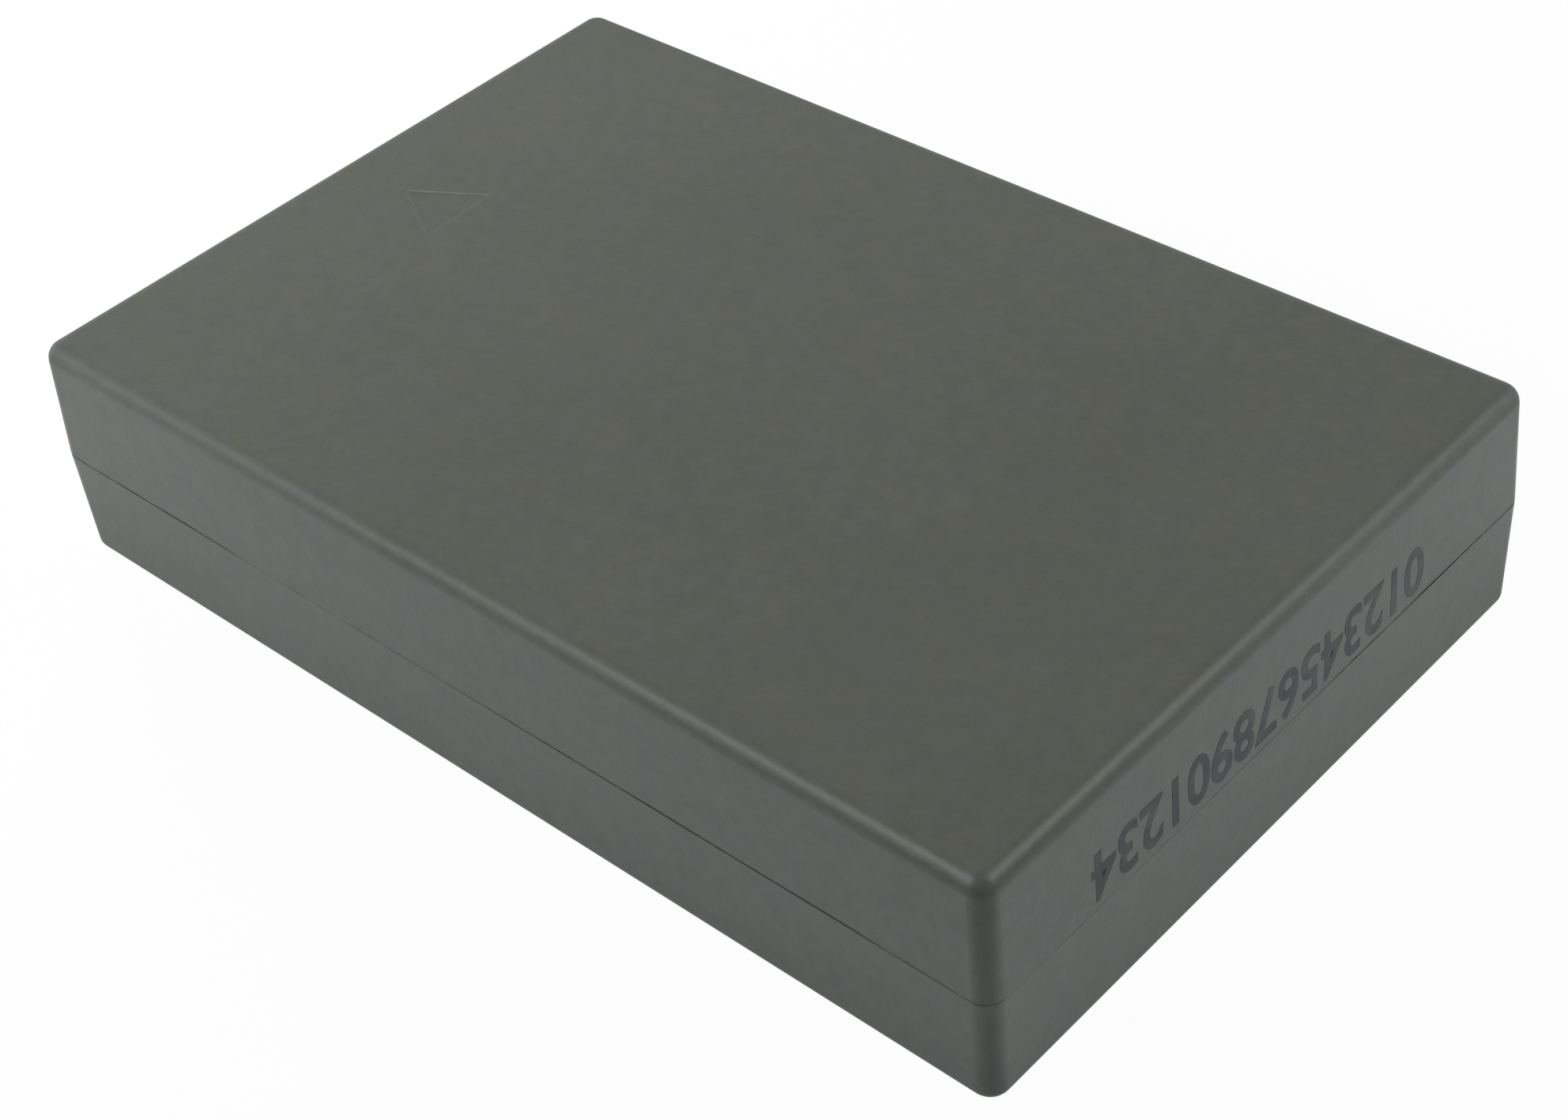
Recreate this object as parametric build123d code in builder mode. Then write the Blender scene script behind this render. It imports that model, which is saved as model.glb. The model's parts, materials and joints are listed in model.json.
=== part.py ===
from build123d import *
from math import radians, tan
import os

os.makedirs("parts", exist_ok=True)

# Case, measured at the parting line, where both shells are widest
case_length = 53.0
case_width = 35.0
lower_height = 5.5
upper_height = 5.8
side_wall = 0.8
face_wall = 0.8
corner_radius = 0.88
upper_draft = 2.0
lower_draft = 1.0
top_edge_radius = 0.8
bottom_edge_radius = 0.5
inner_corner_radius = 0.8
inner_edge_radius = 0.3

# Stepped joint: a lip under the upper wall stands in a rebate of the lower one
lip_thickness = 0.35
lip_depth = 0.7
lip_clearance = 0.05
seam_gap = 0.12

# Contact windows in the end wall, half in each shell
window_count = 3
window_width = 2.2
window_height = 4.6
window_pitch = 3.6
window_row_inset = 10.5
window_lead_in = 0.3

# Stack behind the contact end
contact_thickness = 0.5
contact_overlap = 0.2
contact_clearance = 0.1
contact_edge_radius = 0.15
board_thickness = 0.8
board_side_clearance = 0.2
board_top_clearance = 0.15
board_corner = 0.6
component_space = 2.3
paper_thickness = 0.2

# Ribs inside the shells
rib_thickness = 0.6
rib_root = 0.3
rib_end_clearance = 0.2
clip_reach = 1.5
clip_clearance = 0.1
far_stop_inset = 3.0
side_rib_pitch = 14.0
side_rib_clearance = 0.1

# Cell and what holds it
tape_thickness = 0.3
tape_length = 38.0
tape_width = 24.0
pad_thickness = 0.8
pad_width = 22.0
pad_height = 6.0
cell_side_gap = 0.4
cell_corner_radius = 3.0
cell_end_radius = 0.7
cap_rim = 0.5
cap_groove_width = 0.15
cap_groove_depth = 0.1
vent_length = 5.0
vent_height = 2.6
vent_inset = 4.1

# Cell terminal, clad plate and filling plug on the cap
gasket_length = 6.4
gasket_height = 3.6
gasket_thickness = 0.4
terminal_length = 4.6
terminal_height = 2.6
terminal_thickness = 0.4
terminal_edge = 0.12
plug_radius = 0.7
plug_rise = 0.35
plug_edge = 0.2
clad_length = 4.0
clad_height = 3.0
clad_thickness = 0.3
clad_inset = 6.1
paper_margin = 1.0
paper_cutout_clearance = 0.3

# Nickel strips and the thermal cut-out
strip_thickness = 0.15
strip_width = 2.2
strip_bend_radius = 0.4
strip_foot = 2.2
cutoff_length = 4.2
cutoff_width = 3.0
cutoff_cover = 0.3
cutoff_y = -6.6
cutoff_tail = 1.3
cutoff_edge = 0.25

# Packages and chips on the board
ic_length = 2.9
ic_width = 1.6
ic_thickness = 1.1
ic_span = 2.8
ic_lead_pitch = 0.95
ic_lead_width = 0.4
ic_lead_count = 3
ic_y = -3.4
fet_length = 3.0
fet_width = 4.4
fet_thickness = 1.0
fet_span = 6.4
fet_lead_pitch = 0.65
fet_lead_width = 0.25
fet_lead_count = 4
fet_y = 2.4
lead_thickness = 0.15
lead_foot = 0.5
package_edge = 0.15
chip_length = 1.6
chip_width = 0.8
chip_cap = 0.3
chip_cap_build = 0.03
resistor_thickness = 0.45
capacitor_thickness = 0.8
chip_row_y = 7.0
chip_row_pitch = 1.6
thermistor_drop = 2.9

# Planes that follow from the sizes above
case_height = lower_height + upper_height
roof_z = case_height - face_wall
lower_inset = tan(radians(lower_draft)) * (lower_height - face_wall)
upper_inset = tan(radians(upper_draft)) * (upper_height - face_wall)
wall_inset = max(lower_inset, upper_inset)
inner_half_length = case_length / 2 - side_wall - wall_inset
inner_half_width = case_width / 2 - side_wall - wall_inset
lip_inner_length = case_length - 2 * side_wall
lip_inner_width = case_width - 2 * side_wall
mid_z = (face_wall + roof_z) / 2
rib_low_top = lower_height - lip_depth - rib_end_clearance
rib_high_start = lower_height + rib_end_clearance

contact_face_x = -inner_half_length + contact_clearance
board_outer_x = contact_face_x + contact_thickness
board_inner_x = board_outer_x + board_thickness
board_width = 2 * (inner_half_width - board_side_clearance)
board_height = roof_z - board_top_clearance - face_wall
cap_x = board_inner_x + component_space + paper_thickness
paper_x = cap_x - paper_thickness
cell_end_x = inner_half_length - pad_thickness
cell_length = cell_end_x - cap_x
cell_thickness = roof_z - face_wall - 2 * tape_thickness
cell_width = 2 * (inner_half_width - cell_side_gap)
cell_mid_x = (cap_x + cell_end_x) / 2
terminal_face_x = cap_x - gasket_thickness - terminal_thickness
lead_face_x = terminal_face_x - strip_thickness
cutoff_face_x = lead_face_x - cutoff_cover
clad_face_x = cap_x - clad_thickness
clad_y = cell_width / 2 - clad_inset
plug_y = (gasket_length / 2 + clad_y - clad_length / 2) / 2
vent_y = vent_inset - cell_width / 2

# Places of the windows, the board stops and the side ribs
window_row_y = window_row_inset - case_width / 2
window_places = [window_row_y + (i - (window_count - 1) / 2) * window_pitch for i in range(window_count)]
stop_places = [window_row_y + (i - window_count / 2) * window_pitch for i in range(window_count + 1)]
stop_places = stop_places + [board_width / 2 - far_stop_inset, board_width / 2 - 3 * far_stop_inset]
stop_start_x = -case_length / 2 + side_wall / 2
stop_length = board_outer_x - stop_start_x
stop_mid_x = (stop_start_x + board_outer_x) / 2
clip_x = board_inner_x + clip_clearance + rib_thickness / 2
clip_depth = side_wall / 2 + wall_inset + clip_reach
clip_y = case_width / 2 - side_wall / 2 - clip_depth / 2
side_rib_depth = side_wall / 2 + wall_inset + cell_side_gap - side_rib_clearance
side_rib_y = case_width / 2 - side_wall / 2 - side_rib_depth / 2

# Upper shell: drafted walls, rounded top edge, lip at the rim
with BuildPart() as upper_case:
    with BuildSketch(Plane.XY.offset(lower_height + seam_gap / 2)):
        Rectangle(case_length, case_width)
    extrude(amount=upper_height - seam_gap / 2, taper=upper_draft)
    fillet(upper_case.edges().filter_by(Plane.XY, reverse=True), corner_radius)
    fillet(upper_case.faces().sort_by(Axis.Z)[-1].edges(), top_edge_radius)
    with BuildSketch(Plane.XY.offset(lower_height)):
        RectangleRounded(lip_inner_length, lip_inner_width, inner_corner_radius)
    extrude(amount=upper_height - face_wall, taper=upper_draft, mode=Mode.SUBTRACT)
    fillet(upper_case.faces().filter_by_position(Axis.Z, roof_z - 0.01, roof_z + 0.01).edges(), inner_edge_radius)
    with BuildSketch(Plane.XY.offset(lower_height - lip_depth)):
        RectangleRounded(
            lip_inner_length + 2 * lip_thickness,
            lip_inner_width + 2 * lip_thickness,
            inner_corner_radius + lip_thickness,
        )
        RectangleRounded(lip_inner_length, lip_inner_width, inner_corner_radius, mode=Mode.SUBTRACT)
    extrude(amount=lip_depth + seam_gap / 2 + lip_thickness)
    with BuildSketch(Plane.XY.offset(rib_high_start)):
        with Locations(*[(stop_mid_x, y) for y in stop_places]):
            Rectangle(stop_length, rib_thickness)
        with Locations((clip_x, clip_y), (clip_x, -clip_y)):
            Rectangle(rib_thickness, clip_depth)
        with Locations((cell_mid_x, side_rib_y), (cell_mid_x, -side_rib_y)):
            with GridLocations(side_rib_pitch, 0, 3, 1):
                Rectangle(rib_thickness, side_rib_depth)
    extrude(amount=roof_z - rib_high_start + rib_root)
    with BuildSketch(Plane.YZ.offset(-case_length / 2)):
        with Locations(*[(y, lower_height) for y in window_places]):
            Rectangle(window_width, window_height)
    extrude(amount=side_wall + wall_inset, mode=Mode.SUBTRACT)
    with BuildSketch(Plane.YZ.offset(-case_length / 2)):
        with Locations(*[(y, lower_height) for y in window_places]):
            Rectangle(window_width + 2 * window_lead_in, window_height + 2 * window_lead_in)
    extrude(amount=window_lead_in, taper=45, mode=Mode.SUBTRACT)

# Lower shell: drafted walls, small bottom edge, rebate for the lip
with BuildPart() as lower_case:
    with BuildSketch(Plane((0, 0, lower_height - seam_gap / 2), x_dir=(1, 0, 0), z_dir=(0, 0, -1))):
        Rectangle(case_length, case_width)
    extrude(amount=lower_height - seam_gap / 2, taper=lower_draft)
    fillet(lower_case.edges().filter_by(Plane.XY, reverse=True), corner_radius)
    fillet(lower_case.faces().sort_by(Axis.Z)[0].edges(), bottom_edge_radius)
    with BuildSketch(Plane((0, 0, lower_height), x_dir=(1, 0, 0), z_dir=(0, 0, -1))):
        RectangleRounded(lip_inner_length, lip_inner_width, inner_corner_radius)
    extrude(amount=lower_height - face_wall, taper=lower_draft, mode=Mode.SUBTRACT)
    fillet(lower_case.faces().filter_by_position(Axis.Z, face_wall - 0.01, face_wall + 0.01).edges(), inner_edge_radius)
    with BuildSketch(Plane.XY.offset(lower_height - lip_depth)):
        RectangleRounded(
            lip_inner_length + 2 * (lip_thickness + lip_clearance),
            lip_inner_width + 2 * (lip_thickness + lip_clearance),
            inner_corner_radius + lip_thickness + lip_clearance,
        )
    extrude(amount=lip_depth, mode=Mode.SUBTRACT)
    with BuildSketch(Plane.XY.offset(face_wall - rib_root)):
        with Locations(*[(stop_mid_x, y) for y in stop_places]):
            Rectangle(stop_length, rib_thickness)
        with Locations((clip_x, clip_y), (clip_x, -clip_y)):
            Rectangle(rib_thickness, clip_depth)
        with Locations((cell_mid_x, side_rib_y), (cell_mid_x, -side_rib_y)):
            with GridLocations(side_rib_pitch, 0, 3, 1):
                Rectangle(rib_thickness, side_rib_depth)
    extrude(amount=rib_low_top - face_wall + rib_root)
    with BuildSketch(Plane.YZ.offset(-case_length / 2)):
        with Locations(*[(y, lower_height) for y in window_places]):
            Rectangle(window_width, window_height)
    extrude(amount=side_wall + wall_inset, mode=Mode.SUBTRACT)
    with BuildSketch(Plane.YZ.offset(-case_length / 2)):
        with Locations(*[(y, lower_height) for y in window_places]):
            Rectangle(window_width + 2 * window_lead_in, window_height + 2 * window_lead_in)
    extrude(amount=window_lead_in, taper=45, mode=Mode.SUBTRACT)

# Cell: a drawn can with its cap seam and vent score
with BuildPart() as cell_can:
    with BuildSketch(Plane.YZ.offset(cap_x)):
        with Locations((0, mid_z)):
            RectangleRounded(cell_width, cell_thickness, cell_corner_radius)
    extrude(amount=cell_length)
    fillet(cell_can.faces().sort_by(Axis.X)[-1].edges(), cell_end_radius)
    with BuildSketch(Plane.YZ.offset(cap_x)):
        with Locations((0, mid_z)):
            RectangleRounded(cell_width - 2 * cap_rim, cell_thickness - 2 * cap_rim, cell_corner_radius - cap_rim)
            RectangleRounded(
                cell_width - 2 * (cap_rim + cap_groove_width),
                cell_thickness - 2 * (cap_rim + cap_groove_width),
                cell_corner_radius - cap_rim - cap_groove_width,
                mode=Mode.SUBTRACT,
            )
        with Locations((vent_y, mid_z)):
            SlotOverall(vent_length, vent_height)
            SlotOverall(vent_length - 2 * cap_groove_width, vent_height - 2 * cap_groove_width, mode=Mode.SUBTRACT)
    extrude(amount=cap_groove_depth, mode=Mode.SUBTRACT)

with BuildPart() as terminal_gasket:
    with BuildSketch(Plane.YZ.offset(cap_x - gasket_thickness)):
        with Locations((0, mid_z)):
            SlotOverall(gasket_length, gasket_height)
    extrude(amount=gasket_thickness)

with BuildPart() as negative_terminal:
    with BuildSketch(Plane.YZ.offset(terminal_face_x)):
        with Locations((0, mid_z)):
            RectangleRounded(terminal_length, terminal_height, terminal_height / 4)
    extrude(amount=terminal_thickness)
    chamfer(negative_terminal.faces().sort_by(Axis.X)[0].edges(), terminal_edge)

# Pressed plug over the filling hole
with BuildPart() as fill_plug:
    with BuildSketch(Plane.YZ.offset(cap_x - plug_rise)):
        with Locations((plug_y, mid_z)):
            Circle(plug_radius)
    extrude(amount=plug_rise)
    chamfer(fill_plug.faces().sort_by(Axis.X)[0].edges(), plug_edge)

with BuildPart() as clad_plate:
    with BuildSketch(Plane.YZ.offset(clad_face_x)):
        with Locations((clad_y, mid_z)):
            Rectangle(clad_length, clad_height)
    extrude(amount=clad_thickness)

with BuildPart() as insulating_paper:
    with BuildSketch(Plane.YZ.offset(paper_x)):
        with Locations((0, mid_z)):
            RectangleRounded(
                cell_width - 2 * paper_margin,
                cell_thickness - 2 * paper_margin,
                cell_corner_radius - paper_margin,
            )
            SlotOverall(
                gasket_length + 2 * paper_cutout_clearance,
                gasket_height + 2 * paper_cutout_clearance,
                mode=Mode.SUBTRACT,
            )
        with Locations((clad_y, mid_z)):
            Rectangle(
                clad_length + 2 * paper_cutout_clearance,
                clad_height + 2 * paper_cutout_clearance,
                mode=Mode.SUBTRACT,
            )
        with Locations((plug_y, mid_z)):
            Circle(plug_radius + paper_cutout_clearance, mode=Mode.SUBTRACT)
    extrude(amount=paper_thickness)

# Positive strip: flat on the clad plate, across to the board, flat on the board
positive_bend_y = clad_y + clad_length / 2 - strip_bend_radius
with BuildPart() as positive_tab:
    with BuildSketch(Plane.XY.offset(mid_z - strip_width / 2)):
        with BuildLine():
            FilletPolyline(
                (clad_face_x - strip_thickness, clad_y - clad_length / 2),
                (clad_face_x - strip_thickness, positive_bend_y),
                (board_inner_x, positive_bend_y),
                (board_inner_x, positive_bend_y + strip_foot),
                radius=strip_bend_radius,
            )
            offset(amount=strip_thickness, side=Side.RIGHT)
        make_face()
    extrude(amount=strip_width)

# Thermal cut-out on the paper, with a strip at each end
with BuildPart() as thermal_cutoff:
    with BuildSketch(Plane.YZ.offset(cutoff_face_x)):
        with Locations((cutoff_y, mid_z)):
            Rectangle(cutoff_length, cutoff_width)
    extrude(amount=paper_x - cutoff_face_x)
    chamfer(thermal_cutoff.faces().sort_by(Axis.X)[0].edges(), cutoff_edge)

with BuildPart() as cutoff_lead:
    with BuildSketch(Plane.XY.offset(mid_z - strip_width / 2)):
        with BuildLine():
            Polyline(
                (lead_face_x, cutoff_y + cutoff_length / 2),
                (terminal_face_x, cutoff_y + cutoff_length / 2),
                (terminal_face_x, terminal_length / 2),
                (lead_face_x, terminal_length / 2),
                close=True,
            )
        make_face()
    extrude(amount=strip_width)

negative_start_y = cutoff_y - cutoff_length / 2
negative_bend_y = negative_start_y - cutoff_tail
with BuildPart() as negative_tab:
    with BuildSketch(Plane.XY.offset(mid_z - strip_width / 2)):
        with BuildLine():
            FilletPolyline(
                (lead_face_x, negative_start_y),
                (lead_face_x, negative_bend_y),
                (board_inner_x, negative_bend_y),
                (board_inner_x, negative_bend_y - strip_foot),
                radius=strip_bend_radius,
            )
            offset(amount=strip_thickness, side=Side.LEFT)
        make_face()
    extrude(amount=strip_width)

# Protection board, upright between the stops and the clip ribs
with BuildPart() as circuit_board:
    with BuildSketch(Plane.YZ.offset(board_outer_x)):
        with Locations((0, face_wall + board_height / 2)):
            board_outline = Rectangle(board_width, board_height)
        chamfer(board_outline.vertices(), board_corner)
    extrude(amount=board_thickness)

with BuildPart() as positive_contact:
    with BuildSketch(Plane.YZ.offset(contact_face_x)):
        with Locations((window_places[-1], lower_height)):
            Rectangle(window_width + 2 * contact_overlap, window_height + 2 * contact_overlap)
    extrude(amount=contact_thickness)
    fillet(positive_contact.faces().sort_by(Axis.X)[0].edges(), contact_edge_radius)

with BuildPart() as sense_contact:
    with BuildSketch(Plane.YZ.offset(contact_face_x)):
        with Locations((window_row_y, lower_height)):
            Rectangle(window_width + 2 * contact_overlap, window_height + 2 * contact_overlap)
    extrude(amount=contact_thickness)
    fillet(sense_contact.faces().sort_by(Axis.X)[0].edges(), contact_edge_radius)

with BuildPart() as negative_contact:
    with BuildSketch(Plane.YZ.offset(contact_face_x)):
        with Locations((window_places[0], lower_height)):
            Rectangle(window_width + 2 * contact_overlap, window_height + 2 * contact_overlap)
    extrude(amount=contact_thickness)
    fillet(negative_contact.faces().sort_by(Axis.X)[0].edges(), contact_edge_radius)

# Protection chip: moulded body with bent leads on two sides
ic_knee = ic_span / 2 - lead_foot
with BuildPart() as protection_ic:
    with BuildSketch(Plane.YZ.offset(board_inner_x + lead_thickness)):
        with Locations((ic_y, mid_z)):
            Rectangle(ic_length, ic_width)
    extrude(amount=ic_thickness - lead_thickness)
    chamfer(protection_ic.faces().sort_by(Axis.X)[-1].edges(), package_edge)
    for i in range(ic_lead_count):
        lead_y = ic_y + (i - (ic_lead_count - 1) / 2) * ic_lead_pitch
        with BuildSketch(Plane((board_inner_x, lead_y, mid_z), x_dir=(0, 0, 1), z_dir=(0, 1, 0))):
            with BuildLine():
                Polyline(
                    (0, ic_thickness / 2),
                    (ic_knee + lead_thickness, ic_thickness / 2),
                    (ic_knee + lead_thickness, lead_thickness),
                    (ic_span / 2, lead_thickness),
                    (ic_span / 2, 0),
                    (ic_knee, 0),
                    (ic_knee, ic_thickness / 2 - lead_thickness),
                    (0, ic_thickness / 2 - lead_thickness),
                    close=True,
                )
            make_face()
            mirror(about=Plane.YZ)
        extrude(amount=ic_lead_width / 2, both=True)

fet_knee = fet_span / 2 - lead_foot
with BuildPart() as switch_mosfet:
    with BuildSketch(Plane.YZ.offset(board_inner_x + lead_thickness)):
        with Locations((fet_y, mid_z)):
            Rectangle(fet_length, fet_width)
    extrude(amount=fet_thickness - lead_thickness)
    chamfer(switch_mosfet.faces().sort_by(Axis.X)[-1].edges(), package_edge)
    for i in range(fet_lead_count):
        lead_y = fet_y + (i - (fet_lead_count - 1) / 2) * fet_lead_pitch
        with BuildSketch(Plane((board_inner_x, lead_y, mid_z), x_dir=(0, 0, 1), z_dir=(0, 1, 0))):
            with BuildLine():
                Polyline(
                    (0, fet_thickness / 2),
                    (fet_knee + lead_thickness, fet_thickness / 2),
                    (fet_knee + lead_thickness, lead_thickness),
                    (fet_span / 2, lead_thickness),
                    (fet_span / 2, 0),
                    (fet_knee, 0),
                    (fet_knee, fet_thickness / 2 - lead_thickness),
                    (0, fet_thickness / 2 - lead_thickness),
                    close=True,
                )
            make_face()
            mirror(about=Plane.YZ)
        extrude(amount=fet_lead_width / 2, both=True)

# Chip parts: a ceramic body between two plated caps
resistor_places = [(chip_row_y, mid_z + (i - 1) * chip_row_pitch) for i in range(3)]
capacitor_places = [(ic_y, mid_z + s * (ic_span / 2 + chip_row_pitch)) for s in (-1, 1)]
thermistor_place = (chip_row_y, mid_z - thermistor_drop)
cap_shift = (chip_length - chip_cap) / 2

with BuildPart() as resistors:
    with BuildSketch(Plane.YZ.offset(board_inner_x)):
        with Locations(*resistor_places):
            Rectangle(chip_length - chip_cap, chip_width)
    extrude(amount=resistor_thickness)
    with BuildSketch(Plane.YZ.offset(board_inner_x)):
        with Locations(*[(y + s * cap_shift, z) for y, z in resistor_places for s in (-1, 1)]):
            Rectangle(chip_cap, chip_width + 2 * chip_cap_build)
    extrude(amount=resistor_thickness + chip_cap_build)

with BuildPart() as capacitors:
    with BuildSketch(Plane.YZ.offset(board_inner_x)):
        with Locations(*capacitor_places):
            Rectangle(chip_length - chip_cap, chip_width)
    extrude(amount=capacitor_thickness)
    with BuildSketch(Plane.YZ.offset(board_inner_x)):
        with Locations(*[(y + s * cap_shift, z) for y, z in capacitor_places for s in (-1, 1)]):
            Rectangle(chip_cap, chip_width + 2 * chip_cap_build)
    extrude(amount=capacitor_thickness + chip_cap_build)

with BuildPart() as thermistor:
    with BuildSketch(Plane.YZ.offset(board_inner_x)):
        with Locations(thermistor_place):
            Rectangle(chip_length - chip_cap, chip_width)
    extrude(amount=capacitor_thickness)
    with BuildSketch(Plane.YZ.offset(board_inner_x)):
        with Locations(*[(thermistor_place[0] + s * cap_shift, thermistor_place[1]) for s in (-1, 1)]):
            Rectangle(chip_cap, chip_width + 2 * chip_cap_build)
    extrude(amount=capacitor_thickness + chip_cap_build)

# Tape on both broad faces of the cell and a pad at its closed end
with BuildPart() as lower_tape:
    with BuildSketch(Plane.XY.offset(face_wall)):
        with Locations((cell_mid_x, 0)):
            Rectangle(tape_length, tape_width)
    extrude(amount=tape_thickness)

with BuildPart() as upper_tape:
    with BuildSketch(Plane.XY.offset(roof_z - tape_thickness)):
        with Locations((cell_mid_x, 0)):
            Rectangle(tape_length, tape_width)
    extrude(amount=tape_thickness)

with BuildPart() as end_pad:
    with BuildSketch(Plane.YZ.offset(cell_end_x)):
        with Locations((0, mid_z)):
            Rectangle(pad_width, pad_height)
    extrude(amount=pad_thickness)

pieces = {
    "upper_case": upper_case,
    "lower_case": lower_case,
    "cell_can": cell_can,
    "terminal_gasket": terminal_gasket,
    "negative_terminal": negative_terminal,
    "fill_plug": fill_plug,
    "clad_plate": clad_plate,
    "insulating_paper": insulating_paper,
    "positive_tab": positive_tab,
    "thermal_cutoff": thermal_cutoff,
    "cutoff_lead": cutoff_lead,
    "negative_tab": negative_tab,
    "circuit_board": circuit_board,
    "positive_contact": positive_contact,
    "sense_contact": sense_contact,
    "negative_contact": negative_contact,
    "protection_ic": protection_ic,
    "switch_mosfet": switch_mosfet,
    "thermistor": thermistor,
    "resistors": resistors,
    "capacitors": capacitors,
    "lower_tape": lower_tape,
    "upper_tape": upper_tape,
    "end_pad": end_pad,
}
for label, piece in pieces.items():
    piece.part.label = label
    export_step(piece.part, f"parts/{label}.step")
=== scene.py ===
import json
import math

import bmesh
import bpy
from mathutils import Matrix, Vector, noise

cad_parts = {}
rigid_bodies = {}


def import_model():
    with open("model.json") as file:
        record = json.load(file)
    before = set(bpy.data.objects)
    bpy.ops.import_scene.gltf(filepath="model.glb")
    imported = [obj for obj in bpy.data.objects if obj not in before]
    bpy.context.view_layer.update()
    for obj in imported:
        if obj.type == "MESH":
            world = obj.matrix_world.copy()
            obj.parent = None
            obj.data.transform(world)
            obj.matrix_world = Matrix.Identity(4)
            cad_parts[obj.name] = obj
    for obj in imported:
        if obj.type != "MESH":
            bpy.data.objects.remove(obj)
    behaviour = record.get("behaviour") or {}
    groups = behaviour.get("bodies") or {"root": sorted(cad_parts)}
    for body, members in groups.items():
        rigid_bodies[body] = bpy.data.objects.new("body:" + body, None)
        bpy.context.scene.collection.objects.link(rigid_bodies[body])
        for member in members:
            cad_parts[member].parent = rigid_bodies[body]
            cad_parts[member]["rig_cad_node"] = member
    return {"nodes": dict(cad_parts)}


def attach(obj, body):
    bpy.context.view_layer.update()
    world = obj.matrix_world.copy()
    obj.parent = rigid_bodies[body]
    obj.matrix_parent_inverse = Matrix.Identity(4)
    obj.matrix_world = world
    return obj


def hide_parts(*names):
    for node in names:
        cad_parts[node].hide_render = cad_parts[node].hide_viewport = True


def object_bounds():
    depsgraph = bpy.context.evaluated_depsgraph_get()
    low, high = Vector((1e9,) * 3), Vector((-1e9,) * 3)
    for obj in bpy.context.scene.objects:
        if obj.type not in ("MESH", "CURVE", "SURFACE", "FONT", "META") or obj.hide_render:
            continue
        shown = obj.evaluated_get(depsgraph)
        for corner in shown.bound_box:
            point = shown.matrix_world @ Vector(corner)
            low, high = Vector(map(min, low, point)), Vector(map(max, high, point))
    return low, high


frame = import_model()
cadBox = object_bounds()
cadNodes = frame["nodes"]
mm = 0.001
flatWithin = 0.0008 * mm  # how near to a flat face's plane its points lie
sameWithin = 0.0005 * mm  # points nearer than this are one point
smoothBelow = math.radians(32)  # edges that turn less than this are shaded smooth
noiseLow, noiseHigh = 0.3, 0.7  # where most of a noise's values end
print("frame loaded,", len(cadNodes), "nodes")


def pickOnly(*objects):
    bpy.ops.object.select_all(action="DESELECT")
    for obj in objects:
        obj.select_set(True)
    bpy.context.view_layer.objects.active = objects[0]


def applyModifiers(obj):
    pickOnly(obj)
    for modifier in list(obj.modifiers):
        bpy.ops.object.modifier_apply(modifier=modifier.name)


def settleInMesh(obj):
    pickOnly(obj)
    bpy.ops.object.transform_apply(location=True, rotation=True, scale=True)


# materials

def newFinish(name):
    finish = bpy.data.materials.new(name)
    finish.use_nodes = True
    nodes, links = finish.node_tree.nodes, finish.node_tree.links
    coords = nodes.new("ShaderNodeTexCoord")
    return finish, nodes, links, nodes["Principled BSDF"], coords.outputs["Object"]


def noiseOn(nodes, links, where, scale, detail=2.0, roughness=0.5, stretch=None):
    field = nodes.new("ShaderNodeTexNoise")
    field.inputs["Scale"].default_value = scale
    field.inputs["Detail"].default_value = detail
    field.inputs["Roughness"].default_value = roughness
    if stretch:
        turn = nodes.new("ShaderNodeMapping")
        turn.inputs["Scale"].default_value = stretch
        links.new(where, turn.inputs["Vector"])
        where = turn.outputs["Vector"]
    links.new(where, field.inputs["Vector"])
    return field.outputs["Fac"]


def rampOver(nodes, links, value, *stops):
    ramp = nodes.new("ShaderNodeValToRGB")
    edges = ramp.color_ramp.elements
    for place, (position, colour) in enumerate(stops):
        edge = edges[place] if place < 2 else edges.new(position)
        edge.position = position
        edge.color = (*colour, 1.0)
    links.new(value, ramp.inputs["Fac"])
    return ramp.outputs["Color"]


def rangeOver(nodes, links, value, low, high, fromLow=0.25, fromHigh=0.75):
    span = nodes.new("ShaderNodeMapRange")
    span.inputs["From Min"].default_value = fromLow
    span.inputs["From Max"].default_value = fromHigh
    span.inputs["To Min"].default_value = low
    span.inputs["To Max"].default_value = high
    links.new(value, span.inputs["Value"])
    return span.outputs["Result"]


def mathOn(nodes, links, way, first, second):
    step = nodes.new("ShaderNodeMath")
    step.operation = way
    for source, socket in ((first, step.inputs[0]), (second, step.inputs[1])):
        if isinstance(source, (int, float)):
            socket.default_value = source
        else:
            links.new(source, socket)
    return step.outputs["Value"]


def mixColours(nodes, links, share, first, second, way="MIX"):
    blend = nodes.new("ShaderNodeMix")
    blend.data_type = "RGBA"
    blend.blend_type = way
    if isinstance(share, float):
        blend.inputs["Factor"].default_value = share
    else:
        links.new(share, blend.inputs["Factor"])
    for source, socket in ((first, blend.inputs[6]), (second, blend.inputs[7])):
        if isinstance(source, tuple):
            socket.default_value = (*source, 1.0)
        else:
            links.new(source, socket)
    return blend.outputs[2]


def bumpInto(nodes, links, shader, height, strength, depth):
    bump = nodes.new("ShaderNodeBump")
    bump.inputs["Strength"].default_value = strength
    bump.inputs["Distance"].default_value = depth
    links.new(height, bump.inputs["Height"])
    links.new(bump.outputs["Normal"], shader.inputs["Normal"])


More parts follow.
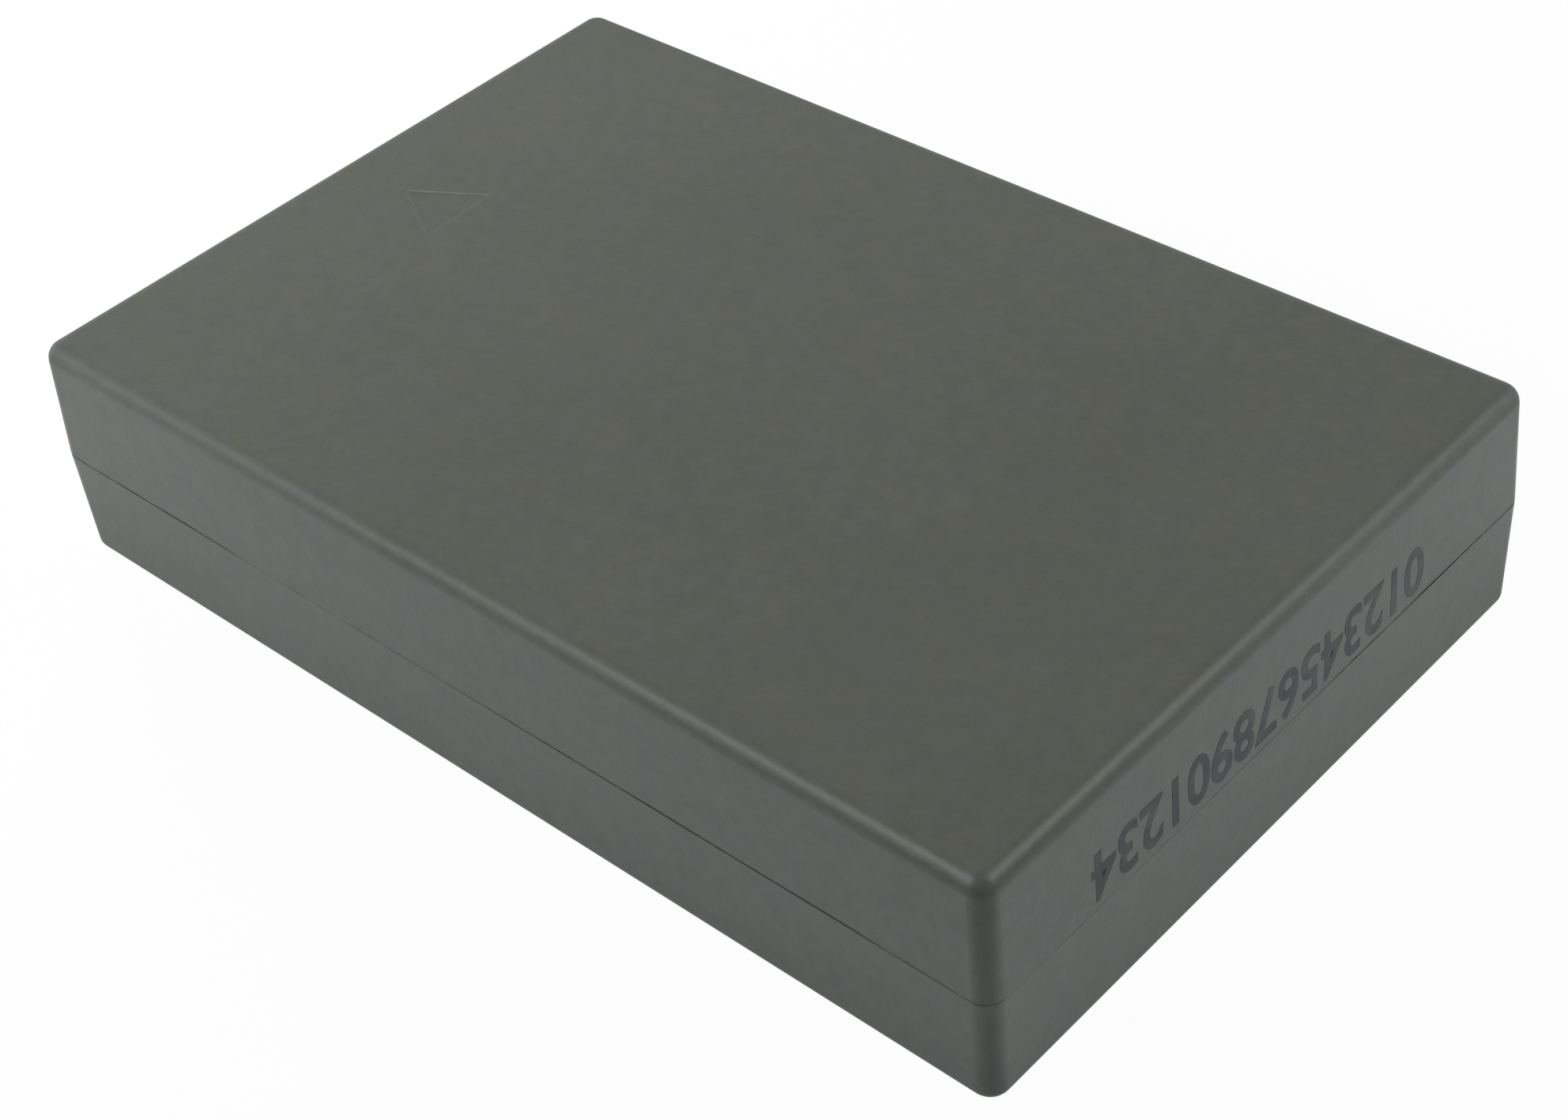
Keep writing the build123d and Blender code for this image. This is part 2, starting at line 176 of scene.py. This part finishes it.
casePlasticLook = {
    "olive": (0.073, 0.081, 0.066),
    "pale": (0.083, 0.090, 0.076),
    "cool": (0.968, 0.987, 1.04),
    "warm": (1.032, 1.013, 0.948),
    "speck": 0.93,  # how dark the grain's low spots are
    "mottle": 0.085,
    "grainScale": 5200.0,
    "mottleScale": 1300.0,
    "tintScale": 560.0,
    "driftScale": 85.0,
    "bump": 0.35,
    "bumpDepth": 0.03 * mm,
    "roughness": (0.38, 0.44),
    "paintedHighlight": 2.0,  # painted highlight: how much paler the marked faces are made
}


def makeCasePlastic():
    look = casePlasticLook
    finish, nodes, links, shader, where = newFinish("case plastic")
    drift = noiseOn(nodes, links, where, look["driftScale"], 3.0)
    grain = noiseOn(nodes, links, where, look["grainScale"], 3.0, 0.6)
    mottle = noiseOn(nodes, links, where, look["mottleScale"], 3.0, 0.6)
    tint = noiseOn(nodes, links, where, look["tintScale"], 2.0)
    tone = rampOver(nodes, links, drift, (noiseLow, look["olive"]), (noiseHigh, look["pale"]))
    speck = rampOver(nodes, links, grain, (noiseLow, (look["speck"],) * 3), (noiseHigh, (1.0, 1.0, 1.0)))
    dim, lit = 1 - look["mottle"], 1 + look["mottle"]
    cloud = rampOver(nodes, links, mottle, (noiseLow, (dim, dim, dim)), (noiseHigh, (lit, lit, lit)))
    hue = rampOver(nodes, links, tint, (noiseLow, look["cool"]), (noiseHigh, look["warm"]))
    # painted highlight: faces marked on the arrow's sloped sides are made paler
    paintedHighlight = nodes.new("ShaderNodeAttribute")
    paintedHighlight.attribute_name = "paintedHighlight"
    wearAndPaintedHighlight = mixColours(nodes, links, paintedHighlight.outputs["Fac"], (1.0, 1.0, 1.0), (look["paintedHighlight"],) * 3)
    for layer in (speck, cloud, hue, wearAndPaintedHighlight):
        tone = mixColours(nodes, links, 1.0, tone, layer, "MULTIPLY")
    links.new(tone, shader.inputs["Base Color"])
    links.new(rangeOver(nodes, links, drift, *look["roughness"]), shader.inputs["Roughness"])
    bumpInto(nodes, links, shader, grain, look["bump"], look["bumpDepth"])
    return finish


metalLook = {"lineScale": 2400.0, "bump": 0.2, "bumpDepth": 0.01 * mm}


def makeMetal(name, dark, light, rough, lay):
    # rolled or drawn metal: fine lines along one direction
    finish, nodes, links, shader, where = newFinish(name)
    lines = noiseOn(nodes, links, where, metalLook["lineScale"], 3.0, 0.6, lay)
    tone = rampOver(nodes, links, lines, (noiseLow, dark), (noiseHigh, light))
    links.new(tone, shader.inputs["Base Color"])
    links.new(rangeOver(nodes, links, lines, rough - 0.06, rough + 0.08), shader.inputs["Roughness"])
    shader.inputs["Metallic"].default_value = 1.0
    bumpInto(nodes, links, shader, lines, metalLook["bump"], metalLook["bumpDepth"])
    return finish


mouldedBumpDepth = 0.02 * mm


def makeMoulded(name, dark, light, rough, scale, bump):
    finish, nodes, links, shader, where = newFinish(name)
    grain = noiseOn(nodes, links, where, scale, 3.0, 0.6)
    tone = rampOver(nodes, links, grain, (noiseLow, dark), (noiseHigh, light))
    links.new(tone, shader.inputs["Base Color"])
    links.new(rangeOver(nodes, links, grain, rough - 0.05, rough + 0.05), shader.inputs["Roughness"])
    bumpInto(nodes, links, shader, grain, bump, mouldedBumpDepth)
    return finish


casePlastic = makeCasePlastic()
nodeFinishes = {
    casePlastic: ["upper_case", "lower_case"],
    makeMetal("drawn aluminium", (0.62, 0.63, 0.64), (0.78, 0.79, 0.80), 0.34, (0.04, 1.0, 1.0)): [
        "cell_can", "fill_plug"],
    makeMetal("nickel strip", (0.55, 0.53, 0.49), (0.72, 0.70, 0.66), 0.3, (1.0, 0.06, 1.0)): [
        "negative_terminal", "clad_plate", "positive_tab", "cutoff_lead", "negative_tab"],
    makeMetal("gold plate", (0.72, 0.50, 0.17), (0.88, 0.66, 0.28), 0.24, (1.0, 1.0, 0.1)): [
        "positive_contact", "sense_contact", "negative_contact"],
    makeMoulded("black plastic", (0.022, 0.022, 0.024), (0.04, 0.04, 0.042), 0.5, 3000.0, 0.3): [
        "terminal_gasket", "thermal_cutoff"],
    makeMoulded("moulded epoxy", (0.016, 0.016, 0.018), (0.03, 0.03, 0.032), 0.42, 5000.0, 0.25): [
        "protection_ic", "switch_mosfet"],
    makeMoulded("solder mask", (0.012, 0.12, 0.045), (0.02, 0.17, 0.065), 0.32, 1500.0, 0.15): [
        "circuit_board"],
    makeMoulded("fired ceramic", (0.34, 0.28, 0.21), (0.44, 0.38, 0.29), 0.45, 4000.0, 0.2): [
        "thermistor", "resistors", "capacitors"],
    makeMoulded("pressed paper", (0.46, 0.52, 0.34), (0.58, 0.62, 0.44), 0.8, 1200.0, 0.5): [
        "insulating_paper"],
    makeMoulded("tissue tape", (0.72, 0.71, 0.66), (0.82, 0.81, 0.77), 0.7, 900.0, 0.5): [
        "lower_tape", "upper_tape"],
    makeMoulded("closed foam", (0.03, 0.03, 0.033), (0.06, 0.06, 0.064), 0.85, 1800.0, 0.8): ["end_pad"],
}
for finish, names in nodeFinishes.items():
    for name in names:
        cadNodes[name].data.materials.clear()
        cadNodes[name].data.materials.append(finish)
print("materials set")

# upper shell: the CAD shell with the insertion arrow sunk into its top and the contact signs into its end
arrowSpec = {
    "tip": (-21.93, 0.5),  # points to the contact end
    "length": 3.58,
    "base": 4.1,
    # each step goes in from the edge and down: a sloped side, then a soft foot
    "steps": ((0.085, 0.043), (0.02, 0.008), (0.02, 0.004), (0.02, 0.001)),
    "leanFrom": 0.35,  # a face that leans more than this is a sloped side
    # painted highlight: how much paler each sloped side is made, the far one, the base and the near one
    "paintedHighlight": (1.0, 0.35, 0.4),
}
signSpec = {
    "arm": 0.65,
    "stroke": 0.15,
    "height": 9.3,
    "plusAt": -3.4,
    "minusAt": -10.6,
    "steps": ((0.03, 0.06), (0.012, 0.012), (0.012, 0.006), (0.012, 0.002)),
}
shellSpec = {"seamHigh": 5.56, "draft": 2.0, "halfLength": 26.5, "halfWidth": 17.5, "corner": 0.88}


def makeDish(name, outline, steps):
    # a sunken sign in the XY plane, made from a filled ring of points and stepped down round its rim
    bpy.ops.object.select_all(action="DESELECT")
    bpy.ops.mesh.primitive_circle_add(
        vertices=len(outline), radius=1.0, fill_type="NGON", location=(0, 0, 0))
    dish = bpy.context.object
    dish.name = name
    bpy.ops.object.mode_set(mode="EDIT")
    shape = bmesh.from_edit_mesh(dish.data)
    shape.verts.ensure_lookup_table()
    for v, (x, y) in zip(shape.verts, outline):
        v.co = Vector((x * mm, y * mm, 0.0))
    bmesh.update_edit_mesh(dish.data)
    bpy.ops.mesh.select_mode(type="FACE")
    bpy.ops.mesh.select_all(action="SELECT")
    shape = bmesh.from_edit_mesh(dish.data)
    shape.normal_update()
    if sum(face.normal.z for face in shape.faces) < 0:
        bpy.ops.mesh.flip_normals()
    for inward, down in steps:
        bpy.ops.mesh.inset(thickness=inward * mm, depth=-down * mm)
    bpy.ops.object.mode_set(mode="OBJECT")
    dish.data.materials.append(casePlastic)
    return dish


def placeOn(obj, right, up, origin):
    normal = right.cross(up)
    turn = Matrix((right, up, normal)).transposed().to_4x4()
    obj.matrix_world = Matrix.Translation(origin * mm) @ turn
    settleInMesh(obj)


def sinkInto(shell, dishes, normal, level):
    # the flat face is opened, the dishes joined in, and the face filled again round their rims
    pickOnly(shell, *dishes)
    bpy.ops.object.join()
    bpy.ops.object.mode_set(mode="EDIT")

    def onFace(part):
        return all(abs(v.co.dot(normal) - level) < flatWithin for v in part.verts)

    bpy.ops.mesh.select_mode(type="FACE")
    bpy.ops.mesh.select_all(action="DESELECT")
    shape = bmesh.from_edit_mesh(shell.data)
    for face in shape.faces:
        face.select_set(onFace(face))
    bmesh.update_edit_mesh(shell.data)
    bpy.ops.mesh.delete(type="FACE")
    bpy.ops.mesh.select_mode(type="EDGE")
    bpy.ops.mesh.select_all(action="DESELECT")
    shape = bmesh.from_edit_mesh(shell.data)
    for edge in shape.edges:
        edge.select_set(edge.is_boundary and onFace(edge))
    bmesh.update_edit_mesh(shell.data)
    bpy.ops.mesh.fill(use_beauty=True)
    bpy.ops.mesh.select_all(action="SELECT")
    bpy.ops.mesh.normals_make_consistent(inside=False)
    bpy.ops.object.mode_set(mode="OBJECT")


def makeArrow(topZ):
    spec = arrowSpec
    (tipX, tipY), half = spec["tip"], spec["base"] / 2
    outline = [(0, 0), (spec["length"], -half), (spec["length"], half)]
    arrow = makeDish("arrow", outline, spec["steps"])
    # painted highlight: the sloped sides are marked so that the case plastic draws them paler
    paintedHighlight = arrow.data.attributes.new("paintedHighlight", "FLOAT", "FACE")
    for face in arrow.data.polygons:
        leans = (-face.normal.y, -face.normal.x, face.normal.y)
        shares = [share for lean, share in zip(leans, spec["paintedHighlight"]) if lean > spec["leanFrom"]]
        paintedHighlight.data[face.index].value = shares[0] if shares else 0.0
    placeOn(arrow, Vector((1, 0, 0)), Vector((0, 1, 0)), Vector((tipX, tipY, topZ / mm)))
    return arrow


def makeSigns():
    spec, shell = signSpec, shellSpec
    a, s = spec["arm"], spec["stroke"]
    plus = [
        (a, -s), (a, s), (s, s), (s, a), (-s, a), (-s, s),
        (-a, s), (-a, -s), (-s, -s), (-s, -a), (s, -a), (s, -s),
    ]
    minus = [(a, -s), (a, s), (-a, s), (-a, -s)]
    lean = math.radians(shell["draft"])
    right, up = Vector((0, -1, 0)), Vector((math.sin(lean), 0, math.cos(lean)))
    inset = (spec["height"] - shell["seamHigh"]) * math.tan(lean)
    signs = []
    for name, outline, y in (("plus", plus, spec["plusAt"]), ("minus", minus, spec["minusAt"])):
        sign = makeDish(name, outline, spec["steps"])
        placeOn(sign, right, up, Vector((inset - shell["halfLength"], y, spec["height"])))
        signs.append(sign)
    return signs, right.cross(up)


def makeUpperShell():
    pickOnly(cadNodes["upper_case"])
    bpy.ops.object.duplicate()
    shell = bpy.context.object
    shell.name = "upper_shell"
    del shell["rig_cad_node"]
    bpy.ops.mesh.customdata_custom_splitnormals_clear()
    bpy.ops.object.mode_set(mode="EDIT")
    bpy.ops.mesh.select_all(action="SELECT")
    bpy.ops.mesh.remove_doubles(threshold=sameWithin)
    bpy.ops.object.mode_set(mode="OBJECT")
    sinkInto(shell, [makeArrow(cadBox[1].z)], Vector((0, 0, 1)), cadBox[1].z)
    signs, outward = makeSigns()
    seamEdge = Vector((-shellSpec["halfLength"], 0, shellSpec["seamHigh"])) * mm
    sinkInto(shell, signs, outward, seamEdge.dot(outward))
    pickOnly(shell)
    bpy.ops.object.shade_smooth_by_angle(angle=smoothBelow)
    weights = shell.modifiers.new("flat faces", "WEIGHTED_NORMAL")
    weights.keep_sharp = True
    applyModifiers(shell)
    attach(shell, "root")
    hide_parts("upper_case")
    return shell


upperShell = makeUpperShell()
print("upper shell done,", len(upperShell.data.polygons), "faces")

# weld in the parting line: nearly flush in places, a fine groove in others
weldSpec = {
    "low": 5.44,
    "back": 0.45,
    "steps": 760,
    "waver": 0.7,
    "slowWaver": 0.8,  # changes per millimetre
    "fineWaver": 3.1,
    "fineShare": 0.6,
    "least": 0.002,
    "startsAt": -12.15,  # on the contact end, either side of the windows
    "endsAt": -1.85,
    # distance along the line, and how far the weld lies below the surface there
    "sunk": (
        (0.0, 0.029), (6.0, 0.024), (12.5, 0.058), (16.5, 0.024), (19.0, 0.012), (30.5, 0.010),
        (32.5, 0.026), (42.0, 0.041), (50.5, 0.050), (52.5, 0.029), (57.0, 0.020), (59.0, 0.006),
        (66.0, 0.005), (78.5, 0.012), (80.0, 0.041), (83.0, 0.022), (86.0, 0.062), (89.0, 0.024),
        (95.0, 0.029), (120.0, 0.048), (140.0, 0.029), (170.0, 0.036),
    ),
}


def unitAt(degrees):
    return Vector((math.cos(math.radians(degrees)), math.sin(math.radians(degrees)), 0))


def seamLegs():
    # straight runs and corner turns of the parting line, from one side of the windows round to the other
    spec, r = shellSpec, shellSpec["corner"]
    flatX, flatY = spec["halfLength"] - r, spec["halfWidth"] - r
    corners = ((-flatX, -flatY, 180), (flatX, -flatY, 270), (flatX, flatY, 360), (-flatX, flatY, 450))
    runs = (2 * flatX, 2 * flatY, 2 * flatX, flatY - weldSpec["endsAt"])
    legs = [("run", Vector((-flatX - r, weldSpec["startsAt"], 0)), 180, weldSpec["startsAt"] + flatY)]
    for (x, y, facing), run in zip(corners, runs):
        centre = Vector((x, y, 0))
        legs.append(("turn", centre, facing, r * math.pi / 2))
        legs.append(("run", centre + unitAt(facing + 90) * r, facing + 90, run))
    return legs


def seamPoint(along):
    legs = seamLegs()
    for kind, start, facing, length in legs:
        if along <= length or (kind, start, facing, length) == legs[-1]:
            break
        along -= length
    if kind == "run":
        return start + unitAt(facing + 90) * along, unitAt(facing)
    out = unitAt(facing + math.degrees(along / shellSpec["corner"]))
    return start + out * shellSpec["corner"], out


def weldDepth(along):
    spec = weldSpec
    for (before, first), (after, second) in zip(spec["sunk"], spec["sunk"][1:]):
        if before <= along <= after:
            depth = first + (second - first) * (along - before) / (after - before)
    slow = noise.noise(Vector((along * spec["slowWaver"], 2.7, 0.4)))
    fine = noise.noise(Vector((along * spec["fineWaver"], 8.2, 1.9)))
    return max(depth * (1 + spec["waver"] * (slow + spec["fineShare"] * fine)), spec["least"])


def makeWeld():
    spec = weldSpec
    whole = sum(leg[3] for leg in seamLegs())
    bpy.ops.object.select_all(action="DESELECT")
    bpy.ops.mesh.primitive_grid_add(
        x_subdivisions=spec["steps"], y_subdivisions=1, size=2.0, location=(0, 0, 0))
    weld = bpy.context.object
    weld.name = "seam_weld"
    bpy.ops.object.mode_set(mode="EDIT")
    shape = bmesh.from_edit_mesh(weld.data)
    for v in shape.verts:
        along = min(max((v.co.x + 1) / 2, 0.0), 1.0) * whole
        place, out = seamPoint(along)
        depth = weldDepth(along) if v.co.y > 0 else spec["back"]
        v.co = (place - out * depth) * mm + Vector((0, 0, spec["low"] * mm))
    bmesh.update_edit_mesh(weld.data)
    bpy.ops.object.mode_set(mode="OBJECT")
    height = weld.modifiers.new("height", "SOLIDIFY")
    height.thickness = (shellSpec["seamHigh"] - spec["low"]) * mm
    height.offset = -1.0  # the strip faces down, so it thickens upwards
    applyModifiers(weld)
    bpy.ops.object.mode_set(mode="EDIT")
    bpy.ops.mesh.select_all(action="SELECT")
    bpy.ops.mesh.normals_make_consistent(inside=False)
    bpy.ops.object.mode_set(mode="OBJECT")
    bpy.ops.object.shade_smooth_by_angle(angle=smoothBelow)
    weld.data.materials.append(casePlastic)
    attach(weld, "root")
    return weld


seamWeld = makeWeld()
print("weld laid in the parting line,", len(seamWeld.data.polygons), "faces")

# printed row of plain digits on the plain end, upside down as it lies
printSpec = {
    "digits": "012345678901234",
    "from": 9.9,  # runs from here towards -Y
    "to": -11.6,
    "foot": 8.25,
    "head": 5.82,
    "thick": 0.008,
    # the type as it is first drawn, one unit high
    "drawnThick": 0.5,
    "swell": 0.02,
    "curveSteps": 5,
    "joinWithin": 0.0001,
    "sliverWithin": 0.001,
    "ink": (0.014, 0.012, 0.019),
    "worn": (0.052, 0.054, 0.052),
    "wearScale": 900.0,
    "wornFrom": 0.40,
    "wornTo": 0.66,
    "fade": (-0.09, 0.06),  # added wear at its end and at its start
    "roughness": (0.45, 0.55),
    "bump": 0.2,
    "bumpDepth": 0.01 * mm,
}


def makeInk():
    spec = printSpec
    finish, nodes, links, shader, where = newFinish("faded ink")
    wearAndPaintedHighlight = noiseOn(nodes, links, where, spec["wearScale"], 4.0, 0.65)
    axes = nodes.new("ShaderNodeSeparateXYZ")
    links.new(where, axes.inputs["Vector"])
    fade = rangeOver(nodes, links, axes.outputs["Y"], *spec["fade"], spec["to"] * mm, spec["from"] * mm)
    wearAndPaintedHighlight = mathOn(nodes, links, "ADD", wearAndPaintedHighlight, fade)
    tone = rampOver(nodes, links, wearAndPaintedHighlight, (spec["wornFrom"], spec["ink"]), (spec["wornTo"], spec["worn"]))
    links.new(tone, shader.inputs["Base Color"])
    links.new(rangeOver(nodes, links, wearAndPaintedHighlight, *spec["roughness"]), shader.inputs["Roughness"])
    bumpInto(nodes, links, shader, wearAndPaintedHighlight, spec["bump"], spec["bumpDepth"])
    return finish


def makePrint():
    spec, shell = printSpec, shellSpec
    bpy.ops.object.select_all(action="DESELECT")
    bpy.ops.object.text_add(location=(0, 0, 0))
    row = bpy.context.object
    row.name = "end_print"
    row.data.body = spec["digits"]
    row.data.extrude = spec["drawnThick"]
    row.data.offset = spec["swell"]
    row.data.resolution_u = spec["curveSteps"]
    bpy.ops.object.convert(target="MESH")
    row = bpy.context.object
    corners = [Vector(c) for c in row.bound_box]
    low = Vector([min(c[i] for c in corners) for i in range(3)])
    high = Vector([max(c[i] for c in corners) for i in range(3)])
    lean = math.radians(shell["draft"])
    tall = (spec["foot"] - spec["head"]) / math.cos(lean)
    wanted = Vector((spec["from"] - spec["to"], tall, spec["thick"]))
    bpy.ops.object.mode_set(mode="EDIT")
    bpy.ops.mesh.select_all(action="SELECT")
    bpy.ops.mesh.remove_doubles(threshold=spec["joinWithin"])
    bpy.ops.mesh.dissolve_degenerate(threshold=spec["sliverWithin"])
    bpy.ops.transform.translate(value=-low)
    scale = [wanted[i] / (high[i] - low[i]) * mm for i in range(3)]
    bpy.ops.transform.resize(value=scale, center_override=(0, 0, 0))
    bpy.ops.mesh.normals_make_consistent(inside=False)
    bpy.ops.object.mode_set(mode="OBJECT")
    bpy.ops.object.shade_flat()
    right, up = Vector((0, -1, 0)), Vector((math.sin(lean), 0, -math.cos(lean)))
    inset = (spec["foot"] - shell["seamHigh"]) * math.tan(lean)
    placeOn(row, right, up, Vector((shell["halfLength"] - inset, spec["from"], spec["foot"])))
    row.data.materials.append(makeInk())
    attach(row, "root")
    return row


endPrint = makePrint()
print("end print set,", len(endPrint.data.polygons), "faces")

# stage
plainWhite = (1.0, 1.0, 1.0)
coolWhite = (0.95, 0.975, 1.05)
floorSpec = {
    "side": 6.0,
    "white": (0.9, 0.9, 0.9),
    "roughness": 0.9,
    "shine": 0.1,
    "seenWhite": 0.96,  # share that the camera sees as plain white
    "reach": 60.0,
    # what shiny surfaces see of it, by distance out from the object: a painted glow, dimmer close to the
    # object as painted shade where its shadow falls
    "mirrored": ((0.0, 0.58), (6.0, 0.87), (12.0, 0.93), (19.0, 0.58), (45.0, 0.66)),
    "mirroredTint": (0.975, 1.0, 1.02),
}


def mirrorRays(nodes, links, path):
    glossy, through = path.outputs["Is Glossy Ray"], path.outputs["Is Transmission Ray"]
    return mathOn(nodes, links, "MAXIMUM", glossy, through)


def tintMirrored(nodes, links, path, tint):
    return mixColours(nodes, links, path.outputs["Is Camera Ray"], tint, plainWhite)


def makeFloor():
    spec = floorSpec
    bpy.ops.object.select_all(action="DESELECT")
    bpy.ops.mesh.primitive_plane_add(size=spec["side"], location=(0, 0, 0))
    floor = bpy.context.object
    floor.name = "floor"
    finish, nodes, links, shader, where = newFinish("floor paper")
    shader.inputs["Base Color"].default_value = (*spec["white"], 1.0)
    shader.inputs["Roughness"].default_value = spec["roughness"]
    shader.inputs["Specular IOR Level"].default_value = spec["shine"]
    # distance out from the object's own footprint
    axes = nodes.new("ShaderNodeSeparateXYZ")
    links.new(where, axes.inputs["Vector"])
    reach = []
    for axis, half in (("X", cadBox[1].x), ("Y", cadBox[1].y)):
        across = mathOn(nodes, links, "ABSOLUTE", axes.outputs[axis], 0.0)
        reach.append(mathOn(nodes, links, "SUBTRACT", across, half))
    outside = mathOn(nodes, links, "MAXIMUM", *reach)
    share = rangeOver(nodes, links, outside, 0.0, 1.0, 0.0, spec["reach"] * mm)
    stops = [(away / spec["reach"], (level, level, level)) for away, level in spec["mirrored"]]
    mirrored = rampOver(nodes, links, share, *stops)
    path = nodes.new("ShaderNodeLightPath")
    bounced = mirrorRays(nodes, links, path)
    straight = mathOn(nodes, links, "MULTIPLY", path.outputs["Is Camera Ray"], spec["seenWhite"])
    glow = nodes.new("ShaderNodeEmission")
    links.new(tintMirrored(nodes, links, path, spec["mirroredTint"]), glow.inputs["Color"])
    mirroredGlow = mathOn(nodes, links, "MULTIPLY", bounced, mirrored)
    strength = mathOn(nodes, links, "ADD", path.outputs["Is Camera Ray"], mirroredGlow)
    links.new(strength, glow.inputs["Strength"])
    both = nodes.new("ShaderNodeMixShader")
    links.new(mathOn(nodes, links, "ADD", straight, bounced), both.inputs["Fac"])
    links.new(shader.outputs["BSDF"], both.inputs[1])
    links.new(glow.outputs["Emission"], both.inputs[2])
    links.new(both.outputs["Shader"], nodes["Material Output"].inputs["Surface"])
    floor.data.materials.append(finish)


makeFloor()

# each lamp by compass angle from +X, height angle and distance from the middle of the floor
lampSide = 100 * mm
lamps = {
    "left box": {"round": 243, "up": 45, "away": 240, "power": 0.156, "tint": plainWhite, "mirrored": True},
    "right box": {"round": 35, "up": 45, "away": 240, "power": 0.118, "tint": plainWhite, "mirrored": True},
    "left fill": {"round": 206, "up": 15, "away": 135, "power": 0.228, "tint": coolWhite, "mirrored": False},
    "right fill": {"round": 49, "up": 12.5, "away": 215, "power": 0.307, "tint": coolWhite, "mirrored": False},
    "far fill": {"round": 149, "up": 22, "away": 240, "power": 0.26, "tint": plainWhite, "mirrored": False},
}


def makeLamps():
    for name, spec in lamps.items():
        turn, rise = math.radians(spec["round"]), math.radians(spec["up"])
        toLamp = Vector((math.cos(turn) * math.cos(rise), math.sin(turn) * math.cos(rise), math.sin(rise)))
        aim = (-toLamp).to_track_quat("-Z", "Y").to_euler()
        bpy.ops.object.light_add(type="AREA", location=toLamp * spec["away"] * mm, rotation=aim)
        lamp = bpy.context.object
        lamp.name = name
        lamp.data.size = lampSide
        lamp.data.energy = spec["power"]
        lamp.data.color = spec["tint"]
        lamp.visible_glossy = spec["mirrored"]


makeLamps()

surroundSpec = {
    "fill": 0.005,
    # what shiny surfaces see of it, by height from the horizon to straight up
    "mirrored": (
        (0.0, 0.13), (0.12, 0.29), (0.28, 0.68), (0.43, 0.93), (0.66, 0.66), (0.85, 0.92), (1.0, 1.1)),
    "mirroredTint": (1.03, 1.005, 0.945),
}


def makeSurround():
    spec = surroundSpec
    world = bpy.data.worlds.new("surround")
    world.use_nodes = True
    nodes, links = world.node_tree.nodes, world.node_tree.links
    seen = nodes["Background"]
    coords = nodes.new("ShaderNodeTexCoord")
    axes = nodes.new("ShaderNodeSeparateXYZ")
    links.new(coords.outputs["Generated"], axes.inputs["Vector"])
    stops = [(height, (level, level, level)) for height, level in spec["mirrored"]]
    mirrored = rampOver(nodes, links, axes.outputs["Z"], *stops)
    path = nodes.new("ShaderNodeLightPath")
    links.new(tintMirrored(nodes, links, path, spec["mirroredTint"]), seen.inputs["Color"])
    level = mathOn(nodes, links, "MAXIMUM", path.outputs["Is Camera Ray"], mirrored)
    links.new(level, seen.inputs["Strength"])
    fill = nodes.new("ShaderNodeBackground")
    fill.inputs["Color"].default_value = (*plainWhite, 1.0)
    fill.inputs["Strength"].default_value = spec["fill"]
    both = nodes.new("ShaderNodeMixShader")
    sight = mathOn(nodes, links, "MAXIMUM", path.outputs["Is Camera Ray"], mirrorRays(nodes, links, path))
    links.new(sight, both.inputs["Fac"])
    links.new(fill.outputs["Background"], both.inputs[1])
    links.new(seen.outputs["Background"], both.inputs[2])
    links.new(both.outputs["Shader"], nodes["World Output"].inputs["Surface"])
    bpy.context.scene.world = world


makeSurround()

cameraSpec = {
    "at": (68.828, -66.425, 81.809),
    "turn": (49.4445, 4.5357, 41.8321),
    "lens": 65.416,
    "sensor": 36.0,
    "near": 5 * mm,
    "far": 20.0,
}
bpy.ops.object.camera_add(
    location=[v * mm for v in cameraSpec["at"]],
    rotation=[math.radians(v) for v in cameraSpec["turn"]])
camera = bpy.context.object
camera.data.lens = cameraSpec["lens"]
camera.data.sensor_width = cameraSpec["sensor"]
camera.data.sensor_fit = "HORIZONTAL"
camera.data.clip_start = cameraSpec["near"]
camera.data.clip_end = cameraSpec["far"]
bpy.context.scene.camera = camera
bpy.context.scene.view_settings.view_transform = "Standard"
print("stage, lights and camera set")
